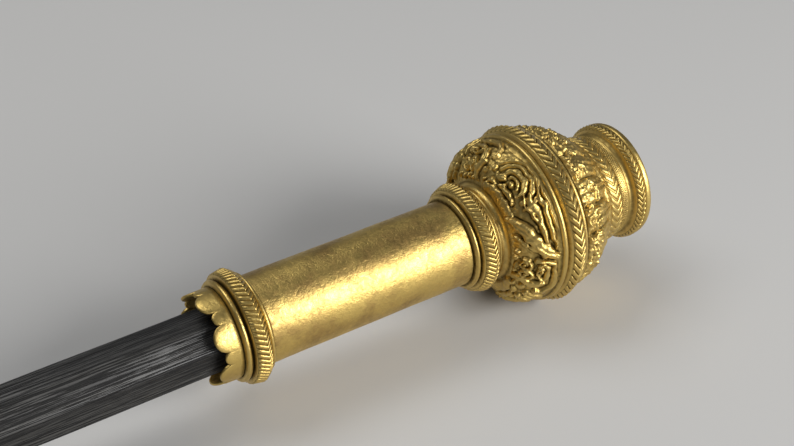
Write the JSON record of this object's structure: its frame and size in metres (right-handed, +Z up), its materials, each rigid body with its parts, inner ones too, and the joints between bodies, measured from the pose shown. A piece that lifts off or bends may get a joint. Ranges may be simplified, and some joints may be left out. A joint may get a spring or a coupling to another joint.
{
  "type": "sceptre",
  "caption": "Ceremonial sceptre lying on its side: a dark octagonal wooden staff with a gilt-brass grip tube, a carved foliage knob and a turned crown.",
  "frame": {"origin": "on the surface that the sceptre lies on, under the middle of its box", "axes": "+X along the sceptre towards its crown, +Z up"},
  "size_m": [0.6404, 0.0604, 0.0595],
  "materials": {
    "ebonised_wood": "open-pored hardwood, stained black and waxed",
    "gilt_brass": "antique gilding, soft gloss, with dark patina in the recesses"
  },
  "bodies": {
    "root": {"shaft": "ebonised_wood", "end_ferrule": "gilt_brass", "lower_collar": "gilt_brass", "grip_tube": "gilt_brass", "upper_collar": "gilt_brass", "knob_lower": "gilt_brass", "knob_belt": "gilt_brass", "knob_upper": "gilt_brass", "crown_cap": "gilt_brass"}
  },
  "joints": []
}
